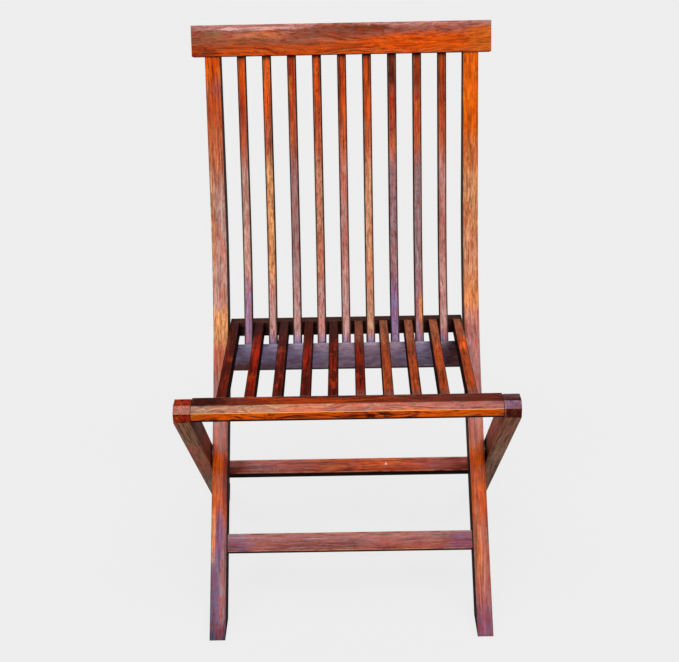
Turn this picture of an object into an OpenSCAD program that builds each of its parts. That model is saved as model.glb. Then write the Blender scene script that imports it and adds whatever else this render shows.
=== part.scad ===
// Wooden folding chair with a slatted back and a slatted seat.
// Three frames make it: the back frame, the rear leg frame and the seat.
// The leg frame turns in the back frame, and the seat turns in the tops of the legs.
// +X is across the chair, +Y runs to the rear and +Z is up, in millimetres.

/* [Overall] */
// Height of the top rail above the floor
chair_h = 882; // [840:1:920]
// Width across the two back posts
back_w = 450; // [420:1:480]
// Distance between the front edges of the front and the rear feet
foot_spread = 410; // [400:1:420]

/* [Timber] */
// Thickness of posts and legs, measured across the chair
board_t = 25; // [22:0.5:28]
// Width of the posts below the bend, seen from the side
board_w = 42; // [38:1:46]
// Width of the rear legs, seen from the side
leg_w = 38; // [38:1:42]

/* [Back frame] */
// Lean of the posts below the bend, from the vertical
lean_low = 40.2; // [39:0.1:41]
// Lean of the posts above the bend, from the vertical
lean_high = 13; // [12:0.1:14]
// Height at which the two straight parts of a post would meet
bend_z = 415; // [405:1:425]
// Radius of the bend on the front face of the posts
bend_r = 750; // [650:10:850]
// Width of the posts under the top rail, seen from the side
post_top_w = 30; // [26:1:34]
// Length of the top rail
top_rail_l = 492; // [470:1:520]
// Height of the top rail
top_rail_h = 50; // [40:1:60]
// Width of the lower back rail
low_rail_w = 42; // [36:1:46]
// Thickness of the lower back rail
low_rail_t = 22; // [18:1:24]
// Lean at which the lower back rail sits, from the vertical
low_rail_lean = 32.4; // [32:0.1:32.8]
// Distance of the front stretcher from the foot, along the posts
front_stretcher_at = 153; // [120:1:170]

/* [Back slats] */
// Distance between the slats of the back
back_pitch = 41.3; // [41:0.1:41.6]
// Width of a back slat
back_slat_w = 15; // [12:0.5:17]
// Thickness of a back slat
back_slat_t = 10; // [8:0.5:11]
// Depth of the back slats behind the front face of the posts
back_slat_in = 3; // [1:0.5:4]

/* [Rear leg frame] */
// Lean of the rear legs, from the vertical
leg_lean = 46.4; // [46:0.1:46.8]
// Gap between a post and the leg beside it
leg_gap = 3; // [2.8:0.1:4]
// Length of the flat under a rear foot, which is cut square behind it
foot_flat = 12; // [10:1:24]
// Distance of the rear stretcher from the foot, along the legs
rear_stretcher_at = 168; // [120:1:180]
// Width of both stretchers, measured along the posts or legs
stretcher_w = 30; // [24:1:34]

/* [Seat] */
// Height of the seat at its front rail
seat_z = 415; // [413:0.5:417]
// Fall of the seat towards the rear
seat_slope = 2.7; // [2.4:0.1:3]
// Distance between the slats of the seat at the front rail
seat_pitch = 41.1; // [40.5:0.1:41.5]
// How much further apart they are at the rear rail
seat_spread = 1.1; // [0:0.1:1.1]
// Width of a seat slat
seat_slat_w = 15.5; // [14:0.5:15.5]
// Thickness of a seat slat
seat_slat_t = 22; // [21:0.5:24]
// Depth of the front rail, from front to rear
front_rail_d = 34; // [32:1:35]
// Height of the front rail
front_rail_h = 25; // [25:0.5:28]
// Chamfer along the nose of the front rail and of the leg tops
nose = 9; // [6:0.5:10]
// Depth of the rear seat rail, from front to rear
rear_rail_d = 20; // [18:1:22]
// Height of the rear seat rail
rear_rail_h = 25; // [22:0.5:26]

/* [Pivots] */
// Diameter of the pivot bolts
bolt_d = 8; // [6:1:8]
// Diameter of the bolt heads
head_d = 15; // [13:0.5:16]

/* [Hidden] */
$fn = 64;
back_slats = 9;
seat_slats = 10;
bend_steps = 32;
// Clearance around pins, and around tenons.
fit = 0.05;
play = 0.1;
// Length by which cuts and joined solids run over a face.
over = 1;
// Front of the seat rail and of the leg tops, measured from the front foot.
front_y = -1;

// Unit vectors of a bar that leans by a degrees: up along it, and square to it.
function up(a) = [sin(a), cos(a)];
function rear(a) = [cos(a), -sin(a)];

// Corners of a bar's side view: s runs up along the bar, d runs to the rear.
function slab(at, a, s0, s1, d0, d1) = [
    at + s0 * up(a) + d0 * rear(a),
    at + s1 * up(a) + d0 * rear(a),
    at + s1 * up(a) + d1 * rear(a),
    at + s0 * up(a) + d1 * rear(a)
];

// Angle of a length along the bend.
function arc_deg(l) = l / bend_r * 180 / PI;

// Front face of the posts: straight, one arc, straight.
foot = [0, 0];
bend_corner = bend_z * [tan(lean_low), 1];
tangent = bend_r * tan((lean_low - lean_high) / 2);
bend_start = bend_corner - tangent * up(lean_low);
bend_end = bend_corner + tangent * up(lean_high);
bend_centre = bend_start - bend_r * rear(lean_low);

// Points of the bend, d behind the front face, from lean a0 to lean a1.
function bend(d, a0, a1) = [
    for (i = [0 : bend_steps])
        bend_centre + (bend_r + d) * rear(a0 + (a1 - a0) * i / bend_steps)
];

// Top rail, in the frame of the straight upper part of the posts.
rail_proud = 1.5;
top_s = (chair_h - bend_end[1] - rail_proud * sin(lean_high)) / cos(lean_high);
rail_s = top_s - top_rail_h;
rail_back = post_top_w + rail_proud;
rail_rear_y = (bend_end + top_s * up(lean_high) + rail_back * rear(lean_high))[0];
mid_y = (front_y + rail_rear_y) / 2;

// Lower back rail, in the frame of the bend.
low_rail_at = bend_centre + bend_r * rear(low_rail_lean);
low_rail_in = 0.5;

// Across the chair, one half.
post_out = back_w / 2;
post_in = post_out - board_t;
leg_in = post_out + leg_gap;
leg_out = leg_in + board_t;
rail_end_gap = 0.6;
front_rail_x = leg_in - rail_end_gap;
rear_rail_gap = 2;
rear_rail_x = post_in - rear_rail_gap;

// Rear legs: the side view starts at the foot's front edge.
leg_foot = [foot_spread, 0];
leg_nose_z = (foot_spread - front_y) / tan(leg_lean);
leg_top_y = foot_spread + leg_w / cos(leg_lean) - seat_z * tan(leg_lean);
heel = leg_foot - foot_flat * sin(leg_lean) * up(-leg_lean) + leg_w * rear(-leg_lean);
rear_stretcher_in = 12;
rear_stretcher_t = 25.5;
front_stretcher_in = 1;
front_stretcher_t = 20;

// Pivot between the frames: on the post's centre line, and as deep in the leg.
pivot_in = board_w / 2;
post_line_y = pivot_in / cos(lean_low);
leg_line_y = foot_spread + pivot_in / cos(leg_lean);
cross_z = (leg_line_y - post_line_y) / (tan(lean_low) + tan(leg_lean));
leg_pivot = [post_line_y + cross_z * tan(lean_low), cross_z];
// Pivot between the seat and the leg tops.
seat_pivot_in = 21;
seat_pivot_down = 13;
seat_pivot = [front_y + seat_pivot_in, seat_z - seat_pivot_down];

// Seat: s runs to the rear along the slats, d runs down.
seat_lean = 90 + seat_slope;
seat_at = [front_y + front_rail_d, seat_z];
// Distance from the front of the seat to its rear rail.
seat_reach = 344.4;
rear_rail_s = seat_reach - front_rail_d;
// Chamfer under the front rail.
under_chamfer = 5;

// Joints between pieces: tenon lengths, then half widths and depths from the front face.
tenon_l = 12;
post_tenon_l = 20;
housing = 8;
post_tenon_side = 4;
post_tenon_d = [9, 21];
low_rail_tenon_half = 14;
low_rail_tenon_d = [6, 17];
stretcher_tenon_half = 10;
front_stretcher_tenon_d = [6, 16];
rear_stretcher_tenon_d = [18, 31];
slat_tenon_half = 5;
slat_tenon_d = [6, 19];

// Hardware.
bolt_r = bolt_d / 2;
head_r = head_d / 2;
head_h = 3.5;
head_sunk = 0.4;
head_room = 0.3;
shank_in = 0.5;
socket_r = 2.9;
socket_floor = 1;
insert_r = 6.5;
insert_l = 19;
insert_sunk = 0.5;
insert_floor = 1;
washer_r = 9;
washer_t = 2.5;
washer_play = 0.2;

wood = [0.56, 0.23, 0.10];
dark_wood = [0.36, 0.14, 0.08];
steel = [0.72, 0.72, 0.74];

// Places a part, drawn from the front foot's front edge, in the chair's own frame.
module placed() {
    translate([0, -mid_y, 0]) children();
}

// Extrudes a side view across the chair, from x0 to x1.
module across(x0, x1) {
    translate([x0, 0, 0]) rotate([90, 0, 90]) linear_extrude(x1 - x0) children();
}

// A round bar along X at a point of the side view.
module round_bar(at, r, x0, x1) {
    translate([x0, at[0], at[1]]) rotate([0, 90, 0]) cylinder(r = r, h = x1 - x0);
}

// Draws a left or a right part from the right-hand one.
module handed(side) {
    if (side == "left") mirror([1, 0, 0]) children();
    else children();
}

// Side views.
function post_view() = concat(
    [foot],
    bend(0, lean_low, lean_high),
    [bend_end + rail_s * up(lean_high),
     bend_end + rail_s * up(lean_high) + post_top_w * rear(lean_high)],
    bend(board_w, lean_high, lean_low),
    [[board_w / cos(lean_low), 0]]
);

function leg_view() = [
    leg_foot,
    [front_y, leg_nose_z],
    [front_y, seat_z - nose],
    [front_y + nose, seat_z],
    [leg_top_y, seat_z],
    heel,
    leg_foot + [foot_flat, 0]
];

function front_rail_view() = let (back = front_y + front_rail_d, low = seat_z - front_rail_h) [
    [front_y + under_chamfer, low],
    [front_y, low + under_chamfer],
    [front_y, seat_z - nose],
    [front_y + nose, seat_z],
    [back, seat_z],
    [back, low]
];

// Side view of a back slat, grown by g for its mortises.
function back_slat_view(g) = concat(
    bend(back_slat_in - g, back_slat_low(g), lean_high),
    [bend_end + (rail_s + housing + g) * up(lean_high) + (back_slat_in - g) * rear(lean_high),
     bend_end + (rail_s + housing + g) * up(lean_high)
        + (back_slat_in + back_slat_t + g) * rear(lean_high)],
    bend(back_slat_in + back_slat_t + g, lean_high, back_slat_low(g))
);

// Lean at the slat's lower end, inside the lower back rail.
function back_slat_low(g) = low_rail_lean - arc_deg(low_rail_w / 2 - housing - g);

// Side view of a tenon: from s0 to s1 along its bar and through the depths d, grown by g.
module tenon_view(at, a, s0, s1, d, g) {
    polygon(slab(at, a, s0 - g, s1 + g, d[0] - g, d[1] + g));
}

// Tenons, as cut with g = 0 and as their mortises with g = play.
module post_tenon(g) {
    across(post_in + post_tenon_side - g, post_out - post_tenon_side + g)
        tenon_view(bend_end, lean_high, rail_s - over, rail_s + post_tenon_l, post_tenon_d, g);
}

module low_rail_tenon(g) {
    half = low_rail_tenon_half;
    across(post_in - over, post_in + tenon_l + g)
        tenon_view(low_rail_at, low_rail_lean, -half, half, low_rail_tenon_d, g);
}

module front_stretcher_tenon(g) {
    s = front_stretcher_at;
    half = stretcher_tenon_half;
    across(post_in - over, post_in + tenon_l + g)
        tenon_view(foot, lean_low, s - half, s + half, front_stretcher_tenon_d, g);
}

module rear_stretcher_tenon(g) {
    s = rear_stretcher_at;
    half = stretcher_tenon_half;
    across(leg_in - over, leg_in + tenon_l + g)
        tenon_view(leg_foot, -leg_lean, s - half, s + half, rear_stretcher_tenon_d, g);
}

// Both ends of a bar that is the same on the left and on the right.
module both_ends() {
    children();
    mirror([1, 0, 0]) children();
}

// Steps from the middle of the chair to slat i.
function from_middle(i, count) = i - (count + 1) / 2;

module back_slat_solid(i, g) {
    x = from_middle(i, back_slats) * back_pitch;
    across(x - back_slat_w / 2 - g, x + back_slat_w / 2 + g) polygon(back_slat_view(g));
}

// Middle of a seat slat at s. The slats spread a little towards the rear.
function seat_slat_x(i, s) = from_middle(i, seat_slats) * (seat_pitch + seat_spread * s / rear_rail_s);

// A block of a seat slat: from s0 to s1 along the slat, through the depths d, grown by g.
module seat_slat_block(i, half, s0, s1, d, g) {
    x0 = seat_slat_x(i, s0);
    x1 = seat_slat_x(i, s1);
    w = half + g;
    translate([0, seat_at[0], seat_at[1]]) rotate([-seat_slope, 0, 0])
        translate([0, 0, -d[1] - g]) linear_extrude(d[1] - d[0] + 2 * g)
            polygon([[x0 - w, s0], [x0 + w, s0], [x1 + w, s1], [x1 - w, s1]]);
}

module seat_slat_solid(i, g) {
    seat_slat_block(i, seat_slat_w / 2, 0, rear_rail_s, [g, seat_slat_t - g], g);
    seat_slat_block(i, slat_tenon_half, -housing - g, rear_rail_s + housing + g, slat_tenon_d, g);
}

// Back frame.
module back_post(side) {
    color(wood) placed() handed(side) {
        difference() {
            across(post_in, post_out) polygon(post_view());
            low_rail_tenon(play);
            front_stretcher_tenon(play);
            round_bar(leg_pivot, insert_r + fit, post_out - insert_l - insert_floor, post_out + over);
        }
        post_tenon(0);
    }
}

module top_rail() {
    color(wood) placed() difference() {
        across(-top_rail_l / 2, top_rail_l / 2)
            polygon(slab(bend_end, lean_high, rail_s, top_s, -rail_proud, rail_back));
        both_ends() post_tenon(play);
        for (i = [1 : back_slats]) back_slat_solid(i, play);
    }
}

module lower_back_rail() {
    half = low_rail_w / 2;
    color(dark_wood) placed() {
        difference() {
            across(-post_in, post_in) polygon(slab(low_rail_at, low_rail_lean, -half, half,
                low_rail_in, low_rail_in + low_rail_t));
            for (i = [1 : back_slats]) back_slat_solid(i, play);
        }
        both_ends() low_rail_tenon(0);
    }
}

module front_stretcher() {
    s = front_stretcher_at;
    half = stretcher_w / 2;
    color(wood) placed() {
        across(-post_in, post_in) polygon(slab(foot, lean_low, s - half, s + half,
            front_stretcher_in, front_stretcher_in + front_stretcher_t));
        both_ends() front_stretcher_tenon(0);
    }
}

module back_slat(i) {
    color(wood) placed() back_slat_solid(i, 0);
}

// Rear leg frame.
module rear_leg(side) {
    color(wood) placed() handed(side) difference() {
        across(leg_in, leg_out) polygon(leg_view());
        rear_stretcher_tenon(play);
        for (at = [leg_pivot, seat_pivot]) {
            round_bar(at, bolt_r + fit, leg_in - over, leg_out + over);
            round_bar(at, head_r + head_room, leg_out - head_h - head_sunk - head_room, leg_out + over);
        }
    }
}

module rear_stretcher() {
    s = rear_stretcher_at;
    half = stretcher_w / 2;
    color(dark_wood) placed() {
        across(-leg_in, leg_in) polygon(slab(leg_foot, -leg_lean, s - half, s + half,
            rear_stretcher_in, rear_stretcher_in + rear_stretcher_t));
        both_ends() rear_stretcher_tenon(0);
    }
}

// Seat.
module seat_front_rail() {
    color(wood) placed() difference() {
        across(-front_rail_x, front_rail_x) polygon(front_rail_view());
        for (i = [1 : seat_slats]) seat_slat_solid(i, play);
        both_ends() round_bar(seat_pivot, insert_r + fit,
            front_rail_x - insert_l - insert_floor, front_rail_x + over);
    }
}

module seat_rear_rail() {
    color(dark_wood) placed() difference() {
        across(-rear_rail_x, rear_rail_x) polygon(slab(seat_at, seat_lean,
            rear_rail_s, rear_rail_s + rear_rail_d, 0, rear_rail_h));
        for (i = [1 : seat_slats]) seat_slat_solid(i, play);
    }
}

module seat_slat(i) {
    color(dark_wood) placed() seat_slat_solid(i, 0);
}

// Hardware: socket-head bolts in the legs, which screw into inserts.
module pivot_bolt(at, tip_x) {
    head_x = leg_out - head_sunk - head_h;
    difference() {
        union() {
            round_bar(at, bolt_r, tip_x, head_x + shank_in);
            round_bar(at, head_r, head_x, head_x + head_h);
        }
        translate([head_x + socket_floor, at[0], at[1]]) rotate([0, 90, 0])
            cylinder(r = socket_r, h = head_h, $fn = 6);
    }
}

module pivot_insert(at, face_x) {
    difference() {
        round_bar(at, insert_r, face_x - insert_l, face_x - insert_sunk);
        round_bar(at, bolt_r + fit, face_x - insert_l - over, face_x + over);
    }
}

module leg_pivot_bolts() {
    color(steel) placed() both_ends() pivot_bolt(leg_pivot, post_out - insert_l + over);
}

module leg_pivot_inserts() {
    color(steel) placed() both_ends() pivot_insert(leg_pivot, post_out);
}

module leg_pivot_washers() {
    color(steel) placed() both_ends() difference() {
        round_bar(leg_pivot, washer_r, post_out, post_out + washer_t);
        round_bar(leg_pivot, bolt_r + washer_play, post_out - over, post_out + washer_t + over);
    }
}

module seat_pivot_bolts() {
    color(steel) placed() both_ends() pivot_bolt(seat_pivot, front_rail_x - insert_l + over);
}

module seat_pivot_inserts() {
    color(steel) placed() both_ends() pivot_insert(seat_pivot, front_rail_x);
}

back_post("left");  // left_back_post
back_post("right");  // right_back_post
top_rail();
lower_back_rail();
front_stretcher();
back_slat(1);  // back_slat_1
back_slat(2);  // back_slat_2
back_slat(3);  // back_slat_3
back_slat(4);  // back_slat_4
back_slat(5);  // back_slat_5
back_slat(6);  // back_slat_6
back_slat(7);  // back_slat_7
back_slat(8);  // back_slat_8
back_slat(9);  // back_slat_9
rear_leg("left");  // left_rear_leg
rear_leg("right");  // right_rear_leg
rear_stretcher();
seat_front_rail();
seat_rear_rail();
seat_slat(1);  // seat_slat_1
seat_slat(2);  // seat_slat_2
seat_slat(3);  // seat_slat_3
seat_slat(4);  // seat_slat_4
seat_slat(5);  // seat_slat_5
seat_slat(6);  // seat_slat_6
seat_slat(7);  // seat_slat_7
seat_slat(8);  // seat_slat_8
seat_slat(9);  // seat_slat_9
seat_slat(10);  // seat_slat_10
leg_pivot_bolts();
leg_pivot_inserts();
leg_pivot_washers();
seat_pivot_bolts();
seat_pivot_inserts();
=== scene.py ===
"""Folding slatted chair in varnished sheesham: finishes with painted sheen and painted shade, rounded edges,
floor, light and camera.
"""
import math

import bpy
from mathutils import Matrix, Vector

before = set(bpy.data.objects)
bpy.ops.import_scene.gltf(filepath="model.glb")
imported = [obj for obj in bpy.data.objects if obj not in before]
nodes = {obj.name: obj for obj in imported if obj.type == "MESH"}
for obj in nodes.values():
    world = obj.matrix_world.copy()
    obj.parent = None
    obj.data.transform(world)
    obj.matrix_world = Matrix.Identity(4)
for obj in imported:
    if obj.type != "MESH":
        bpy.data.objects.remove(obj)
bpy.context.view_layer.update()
EDGE_MARK = "edge_strip"  # the face attribute that marks a rounded edge


# ---------------------------------------------------------------- helpers
def lin(r, g, b):
    """An 8-bit sRGB colour as the linear RGBA that a shader socket takes."""
    def channel(c):
        c /= 255.0
        return c / 12.92 if c <= 0.04045 else ((c + 0.055) / 1.055) ** 2.4
    return (channel(r), channel(g), channel(b), 1.0)


class Net:
    """A short way to add and wire nodes in one tree."""

    def __init__(self, tree):
        self.tree = tree

    def add(self, kind, inputs=None, **settings):
        node = self.tree.nodes.new(kind)
        for key, value in settings.items():
            setattr(node, key, value)
        for key, value in (inputs or {}).items():
            self.put(node.inputs[key], value)
        return node

    def put(self, socket, value):
        if isinstance(value, bpy.types.NodeSocket):
            self.tree.links.new(value, socket)
        else:
            socket.default_value = value

    def math(self, operation, a, b=0.5, c=0.5, clamp=False):
        return self.add("ShaderNodeMath", {0: a, 1: b, 2: c}, operation=operation, use_clamp=clamp).outputs[0]

    def times(self, first, *others, clamp=False):
        """The product of two or more values; clamp holds the last step between 0 and 1."""
        for other in others[:-1]:
            first = self.math("MULTIPLY", first, other)
        return self.math("MULTIPLY", first, others[-1], clamp=clamp)

    def vector(self, operation, a, b):
        return self.add("ShaderNodeVectorMath", {0: a, 1: b}, operation=operation).outputs[0]

    def noise(self, vector, scale, detail=2.0, roughness=0.5, output="Fac"):
        """Smooth noise; scale is how often it repeats per metre along each axis."""
        stretched = self.vector("MULTIPLY", vector, scale)
        return self.add("ShaderNodeTexNoise", {"Vector": stretched, "Scale": 1.0, "Detail": detail,
                        "Roughness": roughness}).outputs[output]

    def ramp(self, value, low, high, to_low=0.0, to_high=1.0):
        """A smooth step from to_low at low to to_high at high."""
        limits = {"Value": value, "From Min": low, "From Max": high, "To Min": to_low, "To Max": to_high}
        return self.add("ShaderNodeMapRange", limits, interpolation_type="SMOOTHSTEP").outputs["Result"]

    def band(self, value, rise, fall):
        """Up smoothly over the two limits of rise, and down again over the two of fall."""
        return self.times(self.ramp(value, *rise), self.ramp(value, *fall))

    def axes(self, vector):
        """The X, Y and Z of a vector."""
        return self.add("ShaderNodeSeparateXYZ", {"Vector": vector}).outputs

    def mix(self, factor, a, b, blend="MIX"):
        node = self.add("ShaderNodeMix", data_type="RGBA", blend_type=blend)
        for socket, value in ((node.inputs[0], factor), (node.inputs[6], a), (node.inputs[7], b)):
            self.put(socket, value)
        return node.outputs[2]


# ---------------------------------------------------------------- camera
# fitted to the outer edges of the posts and legs; the focal length is in the photo's pixels
FOCAL_PX, PHOTO_WIDTH_PX, SENSOR_MM = 1200.0, 679.0, 36.0
CAMERA_AT = (0.0055, -1.7851, 1.2154)
PITCH_DOWN, YAW, ROLL = math.radians(23.88), math.radians(-0.523), math.radians(-1.208)
SIGHT_LIMIT = 200.0
cam_data = bpy.data.cameras.new("photo_view")
cam_data.sensor_width = SENSOR_MM
cam_data.lens = FOCAL_PX * SENSOR_MM / PHOTO_WIDTH_PX
cam_data.clip_end = SIGHT_LIMIT
camera = bpy.data.objects.new("photo_view", cam_data)
bpy.context.scene.collection.objects.link(camera)
level = math.cos(PITCH_DOWN)
forward = Vector((math.sin(YAW) * level, math.cos(YAW) * level, -math.sin(PITCH_DOWN)))
level_right = Vector((math.cos(YAW), -math.sin(YAW), 0.0))
level_up = level_right.cross(forward)
right = level_right * math.cos(ROLL) + level_up * math.sin(ROLL)
up = -level_right * math.sin(ROLL) + level_up * math.cos(ROLL)
turned = Matrix((right, up, -forward)).transposed().to_4x4()
camera.matrix_world = Matrix.Translation(CAMERA_AT) @ turned
bpy.context.scene.camera = camera
bpy.context.scene.view_settings.view_transform = "Standard"
bpy.context.scene.view_settings.look = "None"


# ---------------------------------------------------------------- wood
# how often each figure repeats per metre: twice across the grain, then along it
DRIFT, ZONES, AMBER_PATCHES = (9.0, 9.0, 4.5), (38.0, 38.0, 8.0), (90.0, 90.0, 24.0)
BANDS, LINES, THREADS = (210.0, 210.0, 5.5), (520.0, 520.0, 14.0), (430.0, 430.0, 12.0)
PORES, SPOTS, RIPPLES = (1300.0, 1300.0, 55.0), (330.0, 330.0, 150.0), (70.0, 70.0, 26.0)
SHEEN_PATCHES, MOTTLE, RUBS = (70.0, 70.0, 16.0), (230.0, 230.0, 60.0), (160.0, 160.0, 40.0)
# how far the zones shift the wood's tone, and where on that scale red wood starts and is full
ZONE_SPREAD, RED_FROM = 2.4, (-0.1, 1.0)
# where in its noise each figure starts and where it is full, and how strongly it covers the wood
AMBER_FROM, LIT_FROM, DARK_FROM = (0.52, 0.70), (0.45, 0.33), (0.50, 0.64)
SHEEN_FROM, MOTTLE_FROM, THREAD_FROM, LINE_FROM = (0.28, 0.58), (0.38, 0.60), (0.55, 0.68), (0.50, 0.66)
FLECK_FROM, PORE_FROM, RUB_FROM = (0.54, 0.66), (0.60, 0.75), (0.36, 0.56)
AMBER_COVER, LIT_COVER, DARK_COVER, THREAD_COVER, LINE_COVER, PORE_COVER = 0.45, 0.6, 0.72, 0.7, 0.62, 0.35
SHEEN_LEAST, SHEEN_MOST, WOOD_THROUGH_SHEEN, LINES_VEILED, DEEP_COVER = 0.62, 1.05, 0.45, 0.3, 0.75
THREAD_PALE = (1.6, 1.6, 1.6)
# the varnish's roughness: the least, what the growth lines add and what the painted shade adds
ROUGH_LEAST, ROUGH_LINES, ROUGH_IN_SHADE = 0.16, 0.16, 0.55
SUNK = 0.25  # how deep the lines and pores sink, as a part of the ripples' height
# 8-bit colours of the rubbed edges and of the painted shade
RUBBED_PALE, SHADE_COLOUR = (246, 178, 128), (10, 4, 4)
COLOUR_INPUTS = ("Light", "Mid", "Dark", "Gold", "Sheen_And_Shade", "Deep")
VALUE_INPUTS = ("Sheen_Strength", "Top", "Worn", "Wave", "Tone", "Streaks", "Flecks", "Shade")


def wood_group():
    """Sheesham under varnish, with painted sheen and painted shade over it. Grain runs along the vector's Z,
    in metres.
    """
    tree = bpy.data.node_groups.new("sheesham_grain", "ShaderNodeTree")

    def sockets(names, kind, side):
        for name in names:
            tree.interface.new_socket(name, in_out=side, socket_type=kind)

    sockets(("Vector",), "NodeSocketVector", "INPUT")
    sockets(COLOUR_INPUTS, "NodeSocketColor", "INPUT")
    sockets(VALUE_INPUTS, "NodeSocketFloat", "INPUT")
    sockets(("Color",), "NodeSocketColor", "OUTPUT")
    sockets(("Roughness", "Height"), "NodeSocketFloat", "OUTPUT")
    net = Net(tree)
    given = net.add("NodeGroupInput").outputs
    # the growth rings wander, so every streak is drawn in coordinates that drift a few millimetres sideways
    drift = net.noise(given["Vector"], DRIFT, 2.0, 0.55, output="Color")
    drift = net.vector("MULTIPLY", net.vector("SUBTRACT", drift, (0.5, 0.5, 0.5)), (1.0, 1.0, 0.0))
    drift = net.vector("MULTIPLY", drift, given["Wave"])
    place = net.vector("ADD", given["Vector"], drift)
    zones = net.noise(place, ZONES, 2.0, 0.5)
    bands = net.noise(place, BANDS, 3.0, 0.62)
    lines = net.noise(place, LINES, 2.0, 0.6)
    pores = net.noise(place, PORES, 1.0, 0.5)
    spots = net.noise(given["Vector"], SPOTS, 2.0, 0.6)
    # heartwood: tone shifts the whole member between golden and red-brown
    lean = net.math("ADD", net.math("MULTIPLY_ADD", zones, ZONE_SPREAD, -ZONE_SPREAD / 2.0), given["Tone"])
    body = net.mix(net.ramp(lean, *RED_FROM), given["Light"], given["Mid"])
    amber = net.noise(place, AMBER_PATCHES, 2.0, 0.6)
    body = net.mix(net.times(net.ramp(amber, *AMBER_FROM), AMBER_COVER), body, given["Gold"])
    # dark heartwood bands and lines, with golden sapwood between them
    lit = net.times(net.ramp(bands, *LIT_FROM), LIT_COVER, given["Streaks"], clamp=True)
    body = net.mix(lit, body, given["Light"])
    band_mask = net.times(net.ramp(bands, *DARK_FROM), DARK_COVER, given["Streaks"], clamp=True)
    body = net.mix(band_mask, body, given["Dark"])
    # painted sheen and painted shade over the wood, with the wood's own orange in some places, patchy and
    # streaked along the grain
    patch = net.noise(place, SHEEN_PATCHES, 3.0, 0.65)
    sheen_strength = net.times(net.ramp(patch, *SHEEN_FROM, SHEEN_LEAST, SHEEN_MOST), given["Sheen_Strength"], clamp=True)
    mottle = net.ramp(net.noise(place, MOTTLE, 2.0, 0.6), *MOTTLE_FROM)
    sheen_and_shade = net.mix(mottle, net.mix(WOOD_THROUGH_SHEEN, given["Sheen_And_Shade"], given["Mid"]), given["Sheen_And_Shade"])
    body = net.mix(sheen_strength, body, sheen_and_shade)
    # pale threads of painted sheen along the grain
    threads = net.ramp(net.noise(place, THREADS, 2.0, 0.6), *THREAD_FROM)
    threads = net.times(threads, sheen_strength, given["Streaks"], THREAD_COVER)
    body = net.mix(threads, body, net.vector("MULTIPLY", given["Sheen_And_Shade"], THREAD_PALE))
    # dark growth lines, fainter under the painted sheen, then flecks and pores
    line_mask = net.times(net.ramp(lines, *LINE_FROM), LINE_COVER, given["Streaks"], clamp=True)
    line_mask = net.times(line_mask, net.math("MULTIPLY_ADD", sheen_strength, -LINES_VEILED, 1.0))
    body = net.mix(line_mask, body, given["Dark"])
    fleck_mask = net.times(net.ramp(spots, *FLECK_FROM), given["Flecks"], clamp=True)
    body = net.mix(fleck_mask, body, given["Dark"])
    body = net.mix(net.times(net.ramp(pores, *PORE_FROM), PORE_COVER), body, given["Dark"])
    # painted shade: level faces are painted darker, towards the Deep colour
    body = net.mix(given["Top"], body, net.mix(DEEP_COVER, body, given["Deep"], "MULTIPLY"))
    # edges rubbed pale here and there, then the painted shade of the sides, undersides and joints
    rubbed = net.times(given["Worn"], net.ramp(net.noise(place, RUBS, 3.0, 0.6), *RUB_FROM))
    body = net.mix(rubbed, body, lin(*RUBBED_PALE))
    body = net.mix(given["Shade"], body, lin(*SHADE_COLOUR))
    rough = net.math("MULTIPLY_ADD", lines, ROUGH_LINES, ROUGH_LEAST)
    rough = net.math("ADD", rough, net.times(given["Shade"], ROUGH_IN_SHADE), clamp=True)
    # the finish sinks a little into the pores and the dark bands, and ripples gently along the member
    ripple = net.noise(given["Vector"], RIPPLES, 2.0, 0.5)
    height = net.math("MULTIPLY_ADD", lines, -SUNK, net.math("MULTIPLY_ADD", pores, -SUNK, ripple))
    out = net.add("NodeGroupOutput")
    net.put(out.inputs["Color"], body)
    net.put(out.inputs["Roughness"], rough)
    net.put(out.inputs["Height"], height)
    return tree


GRAIN = wood_group()
# 8-bit colours of the varnished wood, and of a thin painted sheen, where a member doesn't have its own
ORANGE, RED, DARK, AMBER, WINE = (238, 94, 8), (160, 38, 10), (40, 10, 6), (246, 148, 44), (150, 60, 50)
PALE_LIP, THIN_SHEEN = (255, 196, 112), (196, 138, 128)
# the heights between which the posts and back slats turn from the lower slope to the upper one
BEND_FROM, BEND_TO = 0.276, 0.592
LEAN_LOW, LEAN_TOP = 40.2, 13.0
SLOPE_LOW, SLOPE_HIGH = math.tan(math.radians(LEAN_LOW)), math.tan(math.radians(LEAN_TOP))
DRAWN_OUT = 1.12  # the length of the bent boards over their height
GRAIN_SHIFT = (0.371, 0.613, 1.73)  # metres per seed, so that no two members are cut from the same grain
PATCH_WOBBLE = (95.0, 95.0, 95.0)  # repeats per metre of the ragged outline of a painted spot
CORNER_REACH = 0.011  # metres from a joint over which the painted shade darkens
BUMP_STRENGTH, BUMP_DEPTH = 0.35, 0.0012
SPECULAR, COAT, COAT_ROUGHNESS = 0.22, 0.2, 0.1
# the part of its normal at which a face starts to count as the kind that is named, and counts in full
SIDE_FACE, DOWN_FACE, OUTER_FACE, REAR_FACE = (0.06, 0.36), (-0.02, -0.38), (0.3, 0.8), (0.1, 0.5)
LEVEL_FACE, STEEP_DOWN_FACE, FORWARD_FACE = (0.86, 0.97), (-0.45, -0.65), (0.25, 0.08)
UPPER_EDGE, FRONT_EDGE = ((0.72, 0.78), (0.99, 0.93)), ((0.02, 0.12), (0.68, 0.58))
SOFTEN_LOW, SOFTEN_HIGH = 0.12, 0.06
# how much of the painted shade is left on an outer side, a rear face and a rounded edge
OUTER_SHADE, REAR_SHADE, EDGE_SHADE = 0.3, 0.15, 0.85
# painted shade in inner corners: the occlusion at which it starts and is full, how dark, and how many rays
OPEN_CORNER, JOINT_SHADE, CORNER_RAYS = (0.92, 0.42), 0.9, 6
# a spot's edge in parts of its reach, and how far the wobble moves it
SPOT_EDGE, WOBBLE_BY = (1.2, 0.4), 1.1


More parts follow.
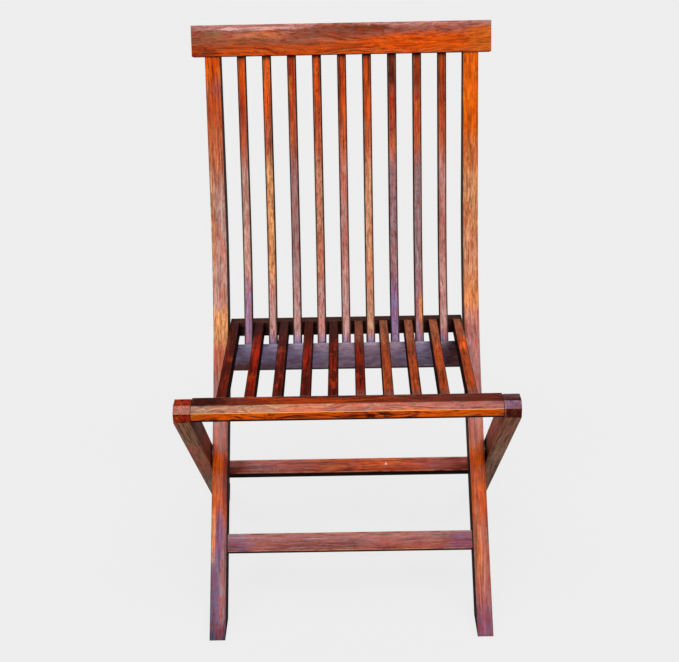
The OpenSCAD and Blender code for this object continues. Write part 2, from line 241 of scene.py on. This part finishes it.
def bent_place(net, place):
    """The back's own coordinates: depth from the front of the bent posts, and height a little drawn out."""
    across, along, height = net.axes(place)
    turn = net.math("MAXIMUM", net.math("SUBTRACT", height, BEND_FROM), 0.0)
    turn = net.math("MINIMUM", turn, BEND_TO - BEND_FROM)
    above = net.math("MAXIMUM", net.math("SUBTRACT", height, BEND_TO), 0.0)
    lost = (SLOPE_LOW - SLOPE_HIGH) / 2.0 / (BEND_TO - BEND_FROM)
    front = net.math("MULTIPLY_ADD", height, SLOPE_LOW, net.times(turn, turn, -lost))
    front = net.math("MULTIPLY_ADD", above, SLOPE_HIGH - SLOPE_LOW, front)
    depth = net.math("SUBTRACT", along, front)
    return net.add("ShaderNodeCombineXYZ", {"X": across, "Y": depth,
                   "Z": net.times(height, DRAWN_OUT)}).outputs["Vector"]


def face_shade(net, place, normal, edge, side_shade, under_shade, crease):
    """How much painted shade a face takes: sides, undersides, inner corners and upper edges."""
    sideways = net.ramp(net.math("ABSOLUTE", normal["X"]), *SIDE_FACE, 0.0, side_shade)
    below = net.ramp(normal["Z"], *DOWN_FACE, 0.0, under_shade)
    # sides that look out from the chair, and faces that look back, catch more of the room than the inner ones
    half = net.math("SIGN", net.axes(place)["X"])
    outward = net.ramp(net.times(normal["X"], half), *OUTER_FACE, 1.0, OUTER_SHADE)
    outward = net.math("MAXIMUM", outward, net.times(edge, EDGE_SHADE))
    sideways = net.times(sideways, outward)
    below = net.times(below, net.ramp(normal["Y"], *REAR_FACE, 1.0, REAR_SHADE))
    # painted shade in the corners where parts meet, and along the upper rounded edges
    rays = net.add("ShaderNodeAmbientOcclusion", {"Distance": CORNER_REACH}, samples=CORNER_RAYS)
    corner_shade = net.ramp(rays.outputs["AO"], *OPEN_CORNER, 0.0, JOINT_SHADE)
    upper_edge_shade = net.times(edge, net.band(normal["Z"], *UPPER_EDGE), crease)
    return net.math("MAXIMUM", net.math("MAXIMUM", sideways, below), net.math("MAXIMUM", corner_shade, upper_edge_shade))


def sheen_and_shade_along(net, along, sheen_and_shade):
    """The painted sheen and shade colour and its strength along a member, from its list of (metres, colour,
    strength).
    """
    start, stop = sheen_and_shade[0][0], sheen_and_shade[-1][0] + 1e-4
    share = net.add("ShaderNodeMapRange", {"Value": along, "From Min": start, "From Max": stop})
    ramp = net.add("ShaderNodeValToRGB", {"Fac": share.outputs["Result"]})
    stops = ramp.color_ramp.elements
    ramp.color_ramp.interpolation = "EASE"
    while len(stops) < len(sheen_and_shade):
        stops.new(0.5)
    while len(stops) > len(sheen_and_shade):
        stops.remove(stops[-1])
    for element, (where, _, _) in zip(stops, sheen_and_shade):
        element.position = (where - start) / (stop - start)
    for element, (_, colour, strength) in zip(stops, sheen_and_shade):
        element.color = (*lin(*colour)[:3], strength)
    return ramp.outputs["Alpha"], ramp.outputs["Color"]


def wood(name, axis, lean, seed, tone=0.4, streaks=1.0, flecks=0.25, side_shade=0.95, under_shade=0.95,
         light=ORANGE, mid=RED, dark=DARK, gold=AMBER, sheen_and_shade=((0.0, THIN_SHEEN, 0.1),), sheen_and_shade_axis=None,
         facing=None, top=0.0, gloss=1.0, worn=0.35, under_painted_light=None, wave=0.016, deep=WINE, lip=0.0,
         crease=0.0, lip_colour=PALE_LIP, patches=()):
    """One member's wood. axis is the way the member runs, X or Z; lean tilts it back, in degrees,
    or is None for a member that follows the bend of the back.
    The sheen and shade list gives (metres along the member or along the axis named for it, colour, strength)
    from end to end: painted sheen, painted shade where it is dark, and the wood's own orange in places.
    facing keeps the painted sheen to the faces whose upward slope is in that range; top paints level faces
    darker, as painted shade; the light and mid tones given for faces that look down paint them paler, as
    painted light; lip rubs the front edges pale and crease paints shade on the upper ones; patches are soft
    spots of painted sheen, painted shade and wood colour: middle, reach, colour, strength."""
    material = bpy.data.materials.new("wood_" + name)
    material.use_nodes = True
    net = Net(material.node_tree)
    shader = material.node_tree.nodes["Principled BSDF"]
    place = net.add("ShaderNodeTexCoord").outputs["Object"]
    turn = (math.radians(lean or 0.0), math.radians(-90.0) if axis == "X" else 0.0, 0.0)
    unbent = bent_place(net, place) if lean is None else place
    local = net.add("ShaderNodeMapping", {"Vector": unbent, "Rotation": turn,
                    "Location": [seed * shift for shift in GRAIN_SHIFT]}).outputs["Vector"]
    normal = net.axes(net.add("ShaderNodeNewGeometry").outputs["Normal"])
    edge = net.add("ShaderNodeAttribute", attribute_name=EDGE_MARK, attribute_type="GEOMETRY").outputs["Fac"]
    shade = face_shade(net, place, normal, edge, side_shade, under_shade, crease)
    forward_face = net.ramp(net.math("ABSOLUTE", normal["X"]), *FORWARD_FACE)
    front_edge = net.times(net.band(normal["Z"], *FRONT_EDGE), forward_face)
    front_edge = net.times(edge, front_edge, lip)
    light, mid = lin(*light), lin(*mid)
    # painted light: faces that look down take paler light and mid tones
    if under_painted_light:
        facing_down = net.ramp(normal["Z"], *STEEP_DOWN_FACE)
        light, mid = (net.mix(facing_down, a, lin(*b)) for a, b in zip((light, mid), under_painted_light))
    sheen_strength, tint = sheen_and_shade_along(net, net.axes(place)[sheen_and_shade_axis or axis], sheen_and_shade)
    # painted sheen kept to the faces whose upward slope is in the given range
    if facing:
        low, high = facing
        rise, fall = (low - SOFTEN_LOW, low + SOFTEN_LOW), (high + SOFTEN_HIGH, high - SOFTEN_HIGH)
        sheen_strength = net.times(sheen_strength, net.band(normal["Z"], rise, fall))
    wobble = net.math("MULTIPLY_ADD", net.noise(place, PATCH_WOBBLE, 3.0, 0.6), WOBBLE_BY, -WOBBLE_BY / 2.0)
    # soft painted spots over the wood: painted sheen, painted shade and the wood's own colour
    for middle, reach, colour, strength in patches:
        offset = net.vector("DIVIDE", net.vector("SUBTRACT", place, middle), reach)
        away = net.add("ShaderNodeVectorMath", {0: offset}, operation="LENGTH").outputs["Value"]
        spot = net.ramp(net.math("ADD", away, wobble), *SPOT_EDGE)
        tint = net.mix(spot, tint, lin(*colour))
        sheen_strength = net.math("MULTIPLY_ADD", spot, net.math("SUBTRACT", strength, sheen_strength), sheen_strength)
    grain = net.add("ShaderNodeGroup", {
        "Vector": local, "Light": light, "Mid": mid, "Dark": lin(*dark), "Gold": lin(*gold), "Sheen_And_Shade": tint,
        "Deep": lin(*deep), "Sheen_Strength": sheen_strength, "Top": net.ramp(normal["Z"], *LEVEL_FACE, 0.0, top),
        "Worn": net.times(edge, worn), "Wave": wave, "Tone": tone, "Streaks": streaks, "Flecks": flecks,
        "Shade": shade}, node_tree=GRAIN).outputs
    net.put(shader.inputs["Base Color"], net.mix(front_edge, grain["Color"], lin(*lip_colour)))
    net.put(shader.inputs["Roughness"], grain["Roughness"])
    bump = {"Height": grain["Height"], "Strength": BUMP_STRENGTH, "Distance": BUMP_DEPTH}
    net.put(shader.inputs["Normal"], net.add("ShaderNodeBump", bump).outputs["Normal"])
    shader.inputs["Specular IOR Level"].default_value = SPECULAR * gloss
    shader.inputs["Coat Weight"].default_value = COAT * gloss
    shader.inputs["Coat Roughness"].default_value = COAT_ROUGHNESS
    return material


# repeats per metre, and how dark the dull spots are
BRUSHING, DULL_SPOTS, DULLED = (300.0, 2400.0, 2400.0), (220.0, 220.0, 220.0), 0.62
BRUSH_STRENGTH, BRUSH_DEPTH, BRUSH_ROUGHNESS, DULL_FROM = 0.2, 0.0002, 0.22, (0.45, 0.75)


def metal(name, colour, rough):
    """Turned hardware with fine brushing and a few dull spots."""
    material = bpy.data.materials.new(name)
    material.use_nodes = True
    net = Net(material.node_tree)
    shader = material.node_tree.nodes["Principled BSDF"]
    place = net.add("ShaderNodeTexCoord").outputs["Object"]
    brushed = net.noise(place, BRUSHING, 3.0, 0.6)
    dull = net.noise(place, DULL_SPOTS, 3.0, 0.6)
    tint = net.mix(net.ramp(dull, *DULL_FROM), lin(*colour), lin(*[c * DULLED for c in colour]))
    net.put(shader.inputs["Base Color"], tint)
    net.put(shader.inputs["Roughness"], net.math("MULTIPLY_ADD", brushed, BRUSH_ROUGHNESS, rough))
    bump = {"Height": brushed, "Strength": BRUSH_STRENGTH, "Distance": BRUSH_DEPTH}
    net.put(shader.inputs["Normal"], net.add("ShaderNodeBump", bump).outputs["Normal"])
    shader.inputs["Metallic"].default_value = 1.0
    return material


# ---------------------------------------------------------------- which node gets which finish
# how far each member leans back, in degrees, as in the CAD source
LEAN_LEG, LEAN_SEAT, LEAN_BACK_RAIL = -46.4, -2.7, 32.4
# 8-bit colours laid over the wood: painted sheen, painted shade, and the wood's own orange and gold
PINK, MAUVE, SALMON, GOLD = (206, 156, 144), (164, 124, 126), (206, 136, 106), (240, 162, 98)
SHADE_BROWN, FLAME, ASH, PLUM = (50, 20, 14), (244, 104, 14), (196, 158, 150), (150, 136, 172)
ANY = 9.0  # a reach longer than the chair: the spot doesn't end along that axis
finish = {}

# painted sheen on the posts, with their own orange, from the floor up: metres, colour, strength
POST_SHEEN_AND_SHADE = {
    "left": (
        (0.00, (146, 116, 126), 0.9), (0.12, (150, 118, 126), 0.9), (0.172, FLAME, 0.9), (0.222, FLAME, 0.9),
        (0.236, (154, 104, 90), 0.9), (0.30, (160, 126, 122), 0.85), (0.365, SALMON, 0.6),
        (0.385, (242, 186, 124), 0.9), (0.415, (242, 186, 124), 0.9), (0.44, (196, 162, 146), 0.95),
        (0.58, (204, 172, 158), 1.0), (0.68, (204, 134, 96), 0.7), (0.76, (190, 96, 56), 0.55),
        (0.80, PINK, 0.0)),
    "right": (
        (0.00, (150, 106, 112), 1.0), (0.12, (190, 128, 104), 0.7), (0.165, FLAME, 0.75), (0.22, FLAME, 0.75),
        (0.245, (186, 112, 84), 0.6), (0.30, MAUVE, 0.7), (0.365, (182, 142, 136), 0.75),
        (0.40, (182, 142, 136), 0.75), (0.44, (236, 160, 100), 0.9), (0.50, (216, 158, 116), 0.9),
        (0.62, (232, 172, 118), 0.85), (0.67, GOLD, 0.5), (0.72, (255, 126, 14), 0.8),
        (0.80, (255, 118, 10), 0.8))}
POST_SPOTS = {
    "left": (
        ((-0.2225, 0.0, 0.125), (0.0065, ANY, 0.055), (246, 160, 90), 1.0),
        ((-0.212, 0.0, 0.125), (0.007, ANY, 0.045), (128, 88, 124), 1.4),
        ((-0.220, 0.0, 0.045), (0.012, ANY, 0.075), (98, 100, 128), 1.4),
        ((-0.204, 0.0, 0.070), (0.006, ANY, 0.055), (160, 122, 122), 1.2),
        ((-0.219, 0.0, 0.195), (0.010, ANY, 0.045), (255, 112, 8), 0.95),
        ((-0.203, 0.0, 0.19), (0.006, ANY, 0.050), (176, 48, 12), 0.8),
        ((-0.2125, 0.0, 0.0), (0.03, ANY, 0.024), (70, 72, 92), 1.5),
        ((-0.205, 0.0, 0.782), (0.008, ANY, 0.022), (172, 94, 84), 0.7),
        ((-0.2225, 0.0, 0.56), (0.006, ANY, 0.10), (226, 180, 134), 0.8)),
    "right": (
        ((0.208, 0.0, 0.12), (0.006, ANY, 0.07), (216, 138, 92), 0.7),
        ((0.2125, 0.0, 0.2), (0.010, ANY, 0.035), (255, 112, 8), 0.9),
        ((0.2125, 0.0, 0.01), (0.03, ANY, 0.028), (126, 90, 112), 0.95))}
for side, seed in (("left", 1), ("right", 2)):
    finish[side + "_back_post"] = wood(side + "_back_post", "Z", None, seed, sheen_and_shade=POST_SHEEN_AND_SHADE[side], tone=0.3,
                                       gloss=0.65, patches=POST_SPOTS[side])

# on the legs the painted sheen keeps to the upward faces, and the downward faces are painted paler as painted
# light
LEG_FACES = dict(facing=(0.4, 0.85), under_shade=0.0, under_painted_light=((255, 206, 140), (224, 150, 96)))
finish["left_rear_leg"] = wood(
    "left_rear_leg", "Z", LEAN_LEG, 3, tone=0.85, streaks=1.3, top=0.5, sheen_and_shade=((0.0, (152, 98, 72), 0.85),),
    side_shade=0.55, gloss=0.5, light=(200, 62, 10), lip=0.5, **LEG_FACES, patches=(
        ((-0.240, -0.03, 0.205), (ANY, ANY, 0.06), (255, 128, 60), 1.0),
        ((-0.228, -0.16, 0.345), (0.012, ANY, 0.035), (206, 150, 104), 0.7),
        ((-0.240, -0.11, 0.272), (ANY, ANY, 0.035), (255, 112, 56), 0.8)))
finish["right_rear_leg"] = wood(
    "right_rear_leg", "Z", LEAN_LEG, 4, tone=1.1, top=0.8, sheen_and_shade=((0.0, (122, 88, 112), 0.85),),
    side_shade=0.2, gloss=0.3, light=(150, 52, 24), mid=(84, 30, 20), gold=(150, 80, 50), **LEG_FACES,
    patches=(
        ((0.228, -0.12, 0.33), (0.004, ANY, 0.09), (250, 134, 100), 1.0),
        ((0.242, -0.06, 0.235), (0.012, ANY, 0.06), (222, 186, 142), 0.8),
        ((0.242, -0.165, 0.345), (0.012, ANY, 0.035), (236, 146, 118), 0.7),
        ((0.238, -0.205, 0.4155), (ANY, 0.03, 0.003), (118, 106, 104), 1.0)))
# painted sheen over the top rail's upper half, and painted shade on its level top face and upper edges
finish["top_rail"] = wood(
    "top_rail", "X", LEAN_TOP, 5, tone=0.2, gloss=0.7, wave=0.05, sheen_and_shade_axis="Z", top=0.8, deep=(120, 84, 84),
    crease=0.6, sheen_and_shade=(
        (0.838, GOLD, 0.0), (0.845, (178, 84, 40), 0.4), (0.854, (160, 104, 76), 0.8),
        (0.872, (160, 108, 94), 0.85), (0.879, PINK, 0.8)), patches=(
        ((0.16, 0.0, 0.849), (0.20, ANY, 0.019), (252, 100, 4), 0.75),
        ((0.232, 0.0, 0.852), (0.03, ANY, 0.026), (252, 134, 36), 0.6),
        ((0.0, 0.0, 0.870), (0.09, ANY, 0.014), (132, 82, 62), 0.9),
        ((0.05, 0.0, 0.873), (0.035, ANY, 0.006), (66, 52, 38), 0.75),
        ((-0.208, 0.0, 0.866), (0.02, ANY, 0.010), (134, 118, 88), 0.8),
        # a painted highlight: a thin pale line just under the top edge
        ((-0.15, 0.0, 0.8755), (0.10, ANY, 0.0032), (240, 200, 190), 0.9),
        ((-0.13, 0.0, 0.864), (0.05, ANY, 0.007), (214, 140, 96), 0.8)))
# painted reflection of the pale blue room over most of the lower back rail, painted shadow at its right end,
# and darker towards the bottom
finish["lower_back_rail"] = wood(
    "lower_back_rail", "X", LEAN_BACK_RAIL, 6, tone=0.9, streaks=0.3, mid=(104, 62, 68), sheen_and_shade_axis="Z",
    sheen_and_shade=(
        (0.329, (92, 50, 54), 0.9), (0.337, (120, 112, 138), 1.3), (0.376, (132, 128, 160), 1.5)), patches=(
        ((0.195, 0.0, 0.35), (0.055, ANY, 0.05), (50, 32, 38), 1.0),
        ((-0.18, 0.0, 0.336), (0.08, ANY, 0.016), (70, 34, 30), 0.9),
        ((0.02, 0.0, 0.34), (0.11, ANY, 0.018), (146, 124, 146), 1.5),
        ((0.02, 0.0, 0.37), (0.12, ANY, 0.02), (150, 130, 152), 1.4)))
# painted sheen on the front stretcher, pinkish, and purplish near its ends
finish["front_stretcher"] = wood(
    "front_stretcher", "X", LEAN_LOW, 7, tone=0.9, sheen_and_shade=((0.0, (162, 118, 112), 0.6),), gloss=0.5, patches=(
        ((-0.192, 0.0, 0.115), (0.04, ANY, 0.03), (126, 106, 128), 0.8),
        ((0.19, 0.0, 0.115), (0.035, ANY, 0.03), (130, 92, 122), 0.75)))
# painted shadow of the posts: the rear stretcher is painted dark at its ends
STRETCHER_END_SHADE = (84, 50, 46)
CHIP = ((0.0655, 0.0515, 0.1452), (0.0022, 0.005, 0.0022), (244, 226, 200), 1.6)  # a pale chip in the varnish
finish["rear_stretcher"] = wood(
    "rear_stretcher", "X", LEAN_LEG, 8, tone=0.3, gloss=0.3, wave=0.03, patches=(CHIP,), sheen_and_shade=(
        (-0.227, SHADE_BROWN, 0.9), (-0.2, STRETCHER_END_SHADE, 0.8), (-0.17, MAUVE, 0.7), (-0.1, MAUVE, 0.5),
        (-0.02, SALMON, 0.15), (0.1, SALMON, 0.1), (0.17, MAUVE, 0.4), (0.2, STRETCHER_END_SHADE, 0.7),
        (0.227, SHADE_BROWN, 0.8)))
# painted sheen on the front rail's upward faces, painted shade on its level top and upper edges
finish["seat_front_rail"] = wood(
    "seat_front_rail", "X", LEAN_SEAT, 9, tone=0.15, streaks=1.3, top=1.0, gloss=0.35, worn=0.3, wave=0.07,
    deep=(96, 40, 34), lip=1.0, lip_colour=(255, 190, 90), light=(255, 104, 8), crease=0.85,
    facing=(0.4, 0.85), sheen_and_shade=(
        (-0.22, (168, 128, 98), 1.0), (-0.13, (174, 134, 94), 1.0), (-0.05, (162, 110, 80), 0.95),
        (0.08, (158, 100, 80), 0.95), (0.22, (156, 98, 90), 1.0)), patches=(
        ((-0.20, -0.21, 0.4155), (0.06, ANY, 0.002), (40, 18, 14), 0.9),
        ((0.16, -0.21, 0.4155), (0.10, ANY, 0.002), (120, 76, 66), 0.8)))
# painted shade: the seat's rear rail is painted near-black all over
finish["seat_rear_rail"] = wood("seat_rear_rail", "X", LEAN_SEAT, 10, light=(56, 22, 14), mid=(32, 14, 11),
                                dark=(14, 7, 6), gold=(60, 30, 18), gloss=0.1, worn=0.1)

BACK_SLATS = (  # tone, flecks, painted sheen low down, painted sheen half-way, colour and strength at the top, painted shade where dark
    (0.35, 0.2, PLUM, (212, 176, 158), SALMON, 0.0),
    (0.15, 0.5, ASH, (248, 186, 124), GOLD, 0.1),
    (0.65, 0.2, ASH, (172, 144, 140), SHADE_BROWN, 0.2),
    (0.35, 0.5, ASH, (216, 158, 124), SALMON, 0.0),
    (0.30, 0.3, ASH, PINK, SALMON, 0.0),
    (0.45, 0.3, (206, 164, 130), (232, 174, 130), SHADE_BROWN, 0.15),
    (0.60, 0.5, (136, 120, 160), (164, 136, 140), SHADE_BROWN, 0.85),
    (0.60, 0.4, (164, 132, 140), (164, 146, 146), SHADE_BROWN, 0.65),
    (0.55, 0.3, ASH, PINK, SHADE_BROWN, 0.35))
BACK_SLAT_SPOTS = {8: (((0.129, 0.0, 0.425), (0.006, ANY, 0.035), (232, 156, 92), 0.95),)}
BACK_SEED, SEAT_SEED = 10, 20
for i, (tone, flecks, low, middle, top, strength) in enumerate(BACK_SLATS, 1):
    finish[f"back_slat_{i}"] = wood(
        f"back_slat_{i}", "Z", None, BACK_SEED + i, tone=tone, flecks=flecks, sheen_and_shade=(
            (0.376, PLUM, 1.0), (0.395, low, 1.0), (0.44, low, 0.95), (0.50, middle, 0.9),
            (0.64, middle, 0.9), (0.70, SALMON, 0.35), (0.76, SALMON, 0.05), (0.79, top, strength),
            (0.83, top, strength)), patches=BACK_SLAT_SPOTS.get(i, ()))


def seat_sheen_and_shade(near, front, middle, rear):
    """A seat slat's painted sheen and painted shade from its front end to its rear end; front and middle come
    with their strengths.
    """
    return (-0.21, near, 0.8), (-0.17, *front), (-0.06, *middle), (0.03, rear, 0.8), (0.1, rear, 0.95)


RUBY = dict(light=(186, 40, 8), mid=(78, 17, 8), dark=(16, 6, 4), gold=(196, 70, 20))
COPPER = dict(light=(176, 66, 24), mid=(98, 36, 18), dark=(20, 8, 6), gold=(176, 88, 40))
FAINT, GREYISH_BROWN = (SHADE_BROWN, 0.15), (112, 72, 62)
# painted shade: the darker slats are painted near-black at both ends
DARK_SLAT = seat_sheen_and_shade(SHADE_BROWN, FAINT, FAINT, SHADE_BROWN)
MIXED_SLAT = seat_sheen_and_shade(GREYISH_BROWN, FAINT, FAINT, (124, 72, 52))
BROWN_SLAT = seat_sheen_and_shade(GREYISH_BROWN, ((190, 92, 40), 0.25), ((176, 84, 42), 0.4), (156, 92, 62))
SEAT_SLATS = (  # tone, painted sheen and shade, wood
    (1.25, DARK_SLAT, RUBY), (0.35, DARK_SLAT, RUBY), (1.5, DARK_SLAT, RUBY), (0.35, DARK_SLAT, RUBY),
    (0.9, DARK_SLAT, RUBY), (1.0, MIXED_SLAT, RUBY), (0.6, BROWN_SLAT, COPPER), (0.6, BROWN_SLAT, COPPER),
    (0.6, BROWN_SLAT, COPPER), (0.3, BROWN_SLAT, COPPER))
SEAT_SLAT_SPOTS = {1: (((-0.19, -0.16, 0.0), (0.03, 0.06, ANY), (80, 26, 18), 0.7),),
                   10: (((0.2, -0.01, 0.0), (0.03, 0.035, ANY), (236, 92, 18), 0.7),)}
for i, (tone, sheen_and_shade, colours) in enumerate(SEAT_SLATS, 1):
    finish[f"seat_slat_{i}"] = wood(
        f"seat_slat_{i}", "Z", 90.0 - LEAN_SEAT, SEAT_SEED + i, tone=tone, gloss=0.12, worn=0.12, flecks=0.5,
        sheen_and_shade=sheen_and_shade, sheen_and_shade_axis="Y", patches=SEAT_SLAT_SPOTS.get(i, ()), **colours)

steel = metal("zinc_steel", (176, 174, 168), 0.28)
brass = metal("brass", (196, 152, 74), 0.26)
for name in nodes:
    if name.endswith("_inserts"):
        finish[name] = brass
    elif name.endswith("_bolts") or name.endswith("_washers"):
        finish[name] = steel
for name, material in finish.items():
    for slot in nodes[name].material_slots:
        slot.link = "OBJECT"
        slot.material = material


# ---------------------------------------------------------------- rounded edges
STRIP_WIDTH = 0.0045  # metres; any narrower face counts as part of an edge
SMOOTH_UNDER, BEVEL_OVER, FLAT_WITHIN = math.radians(34.0), math.radians(20.0), math.radians(0.1)
EDGE_WOOD, EDGE_SLAT, EDGE_METAL, EDGE_STEPS = 0.0032, 0.0026, 0.0003, 3
WELD_WITHIN = 1e-5


def finish_group():
    """Marks the narrow faces that the bevel made, for the wear and the painted shade on them, and shades
    smoothly across them.
    """
    tree = bpy.data.node_groups.new("edge_finish", "GeometryNodeTree")
    tree.interface.new_socket("Geometry", in_out="INPUT", socket_type="NodeSocketGeometry")
    tree.interface.new_socket("Geometry", in_out="OUTPUT", socket_type="NodeSocketGeometry")
    tree.is_modifier = True
    net = Net(tree)
    given = net.add("NodeGroupInput").outputs[0]
    # a face's width is its area over the mean length of its edges
    ends = net.add("GeometryNodeInputMeshEdgeVertices").outputs
    corners = {0: ends["Position 1"], 1: ends["Position 2"]}
    span = net.add("ShaderNodeVectorMath", corners, operation="DISTANCE").outputs["Value"]
    mean = net.add("GeometryNodeFieldOnDomain", {0: span}, domain="EDGE").outputs[0]
    area = net.add("GeometryNodeInputMeshFaceArea").outputs[0]
    narrow = net.math("LESS_THAN", net.math("DIVIDE", area, mean), STRIP_WIDTH)
    marked = net.add("GeometryNodeStoreNamedAttribute", {"Geometry": given, "Name": EDGE_MARK},
                     data_type="FLOAT", domain="FACE")
    net.put(marked.inputs["Value"], narrow)
    smooth = net.add("GeometryNodeSetShadeSmooth", {"Geometry": marked.outputs[0], "Shade Smooth": True},
                     domain="FACE").outputs[0]
    angle = net.add("GeometryNodeInputMeshEdgeAngle").outputs["Unsigned Angle"]
    gentle = net.add("FunctionNodeCompare", {0: angle, 1: SMOOTH_UNDER}, operation="LESS_EQUAL").outputs[0]
    smooth = net.add("GeometryNodeSetShadeSmooth", {"Geometry": smooth, "Shade Smooth": gentle},
                     domain="EDGE").outputs[0]
    net.add("NodeGroupOutput", {0: smooth})
    return tree


EDGE_FINISH = finish_group()
for name, piece in nodes.items():
    weld = piece.modifiers.new("weld", "WELD")
    weld.merge_threshold = WELD_WITHIN
    flat = piece.modifiers.new("flat_faces", "DECIMATE")
    flat.decimate_type = "DISSOLVE"
    flat.angle_limit = FLAT_WITHIN
    edge = piece.modifiers.new("rounded_edges", "BEVEL")
    edge.width = EDGE_METAL if finish[name] in (steel, brass) else EDGE_SLAT if "slat" in name else EDGE_WOOD
    edge.segments = EDGE_STEPS
    edge.limit_method = "ANGLE"
    edge.angle_limit = BEVEL_OVER
    edge.use_clamp_overlap = True
    shading = piece.modifiers.new("smooth_edges", "NODES")
    shading.node_group = EDGE_FINISH


# ---------------------------------------------------------------- floor and light
FLOOR_HALF = 60.0
CLOUDS = (3.0, 3.0, 3.0)
FLOOR_TONES = (0.039, 0.039, 0.039, 1.0), (0.041, 0.041, 0.041, 1.0)
FLOOR_GLOW, FLOOR_BOUNCE = (0.7956, 0.8002, 0.7973, 1.0), (0.20, 0.19, 0.185, 1.0)
BACKDROP = (0.847, 0.847, 0.847, 1.0)
ROOM_AHEAD, ROOM_BEHIND = (0.17, 0.165, 0.17, 1.0), (0.11, 0.11, 0.115, 1.0)
ROOM_FLANKS = (0.10, 0.10, 0.11, 1.0)
REAR_LAMP, PANEL = (1.6, 1.5, 1.5, 1.0), (6.6, 6.1, 6.3, 1.0)
# where each part of the room starts and is full, as parts of the way that a ray points
BEHIND_Y, FLANKS_X, LAMP_Z, LAMP_Y = (-0.15, 0.25), (0.45, 0.85), (0.78, 0.88), (0.05, 0.2)
PANEL_Z, PANEL_Y, PANEL_X = ((0.66, 0.78), (0.99, 0.94)), (-0.02, -0.22), (0.72, 0.52)


def floor_material():
    """Pale and matt. Rays that light the chair find it dimmer, as a studio floor is away from the lamps."""
    material = bpy.data.materials.new("pale_floor")
    material.use_nodes = True
    tree = material.node_tree
    tree.nodes.clear()
    net = Net(tree)
    cloudy = net.noise(net.add("ShaderNodeTexCoord").outputs["Object"], CLOUDS, 3.0, 0.5)
    lit = net.add("ShaderNodeBsdfDiffuse", {"Color": net.mix(cloudy, *FLOOR_TONES)})
    glow = net.add("ShaderNodeEmission", {"Color": FLOOR_GLOW, "Strength": 1.0})
    pale = net.add("ShaderNodeAddShader", {0: lit.outputs[0], 1: glow.outputs[0]})
    dim = net.add("ShaderNodeBsdfDiffuse", {"Color": FLOOR_BOUNCE})
    seen = net.add("ShaderNodeLightPath").outputs["Is Camera Ray"]
    both = net.add("ShaderNodeMixShader", {0: seen, 1: dim.outputs[0], 2: pale.outputs[0]})
    net.add("ShaderNodeOutputMaterial", {"Surface": both.outputs[0]})
    return material


def studio_world():
    """A dim room with one big soft panel above and in front, a small lamp behind, and a pale backdrop."""
    world = bpy.data.worlds.new("studio")
    world.use_nodes = True
    tree = world.node_tree
    tree.nodes.clear()
    net = Net(tree)
    x, y, z = net.axes(net.add("ShaderNodeTexCoord").outputs["Generated"])
    outwards = net.math("ABSOLUTE", x)
    room = net.mix(net.ramp(y, *BEHIND_Y), ROOM_AHEAD, ROOM_BEHIND)
    room = net.mix(net.ramp(outwards, *FLANKS_X), room, ROOM_FLANKS)
    room = net.mix(net.times(net.ramp(z, *LAMP_Z), net.ramp(y, *LAMP_Y)), room, REAR_LAMP)
    panel = net.times(net.band(z, *PANEL_Z), net.ramp(y, *PANEL_Y), net.ramp(outwards, *PANEL_X))
    light = net.mix(panel, room, PANEL)
    seen = net.add("ShaderNodeLightPath").outputs["Is Camera Ray"]
    background = net.add("ShaderNodeBackground", {"Color": net.mix(seen, light, BACKDROP), "Strength": 1.0})
    net.add("ShaderNodeOutputWorld", {"Surface": background.outputs[0]})
    return world


floor_mesh = bpy.data.meshes.new("floor")
floor_corners = [(x * FLOOR_HALF, y * FLOOR_HALF, 0.0) for x, y in ((-1, -1), (1, -1), (1, 1), (-1, 1))]
floor_mesh.from_pydata(floor_corners, [], [(0, 1, 2, 3)])
floor_mesh.materials.append(floor_material())
floor = bpy.data.objects.new("floor", floor_mesh)
bpy.context.scene.collection.objects.link(floor)
bpy.context.scene.world = studio_world()
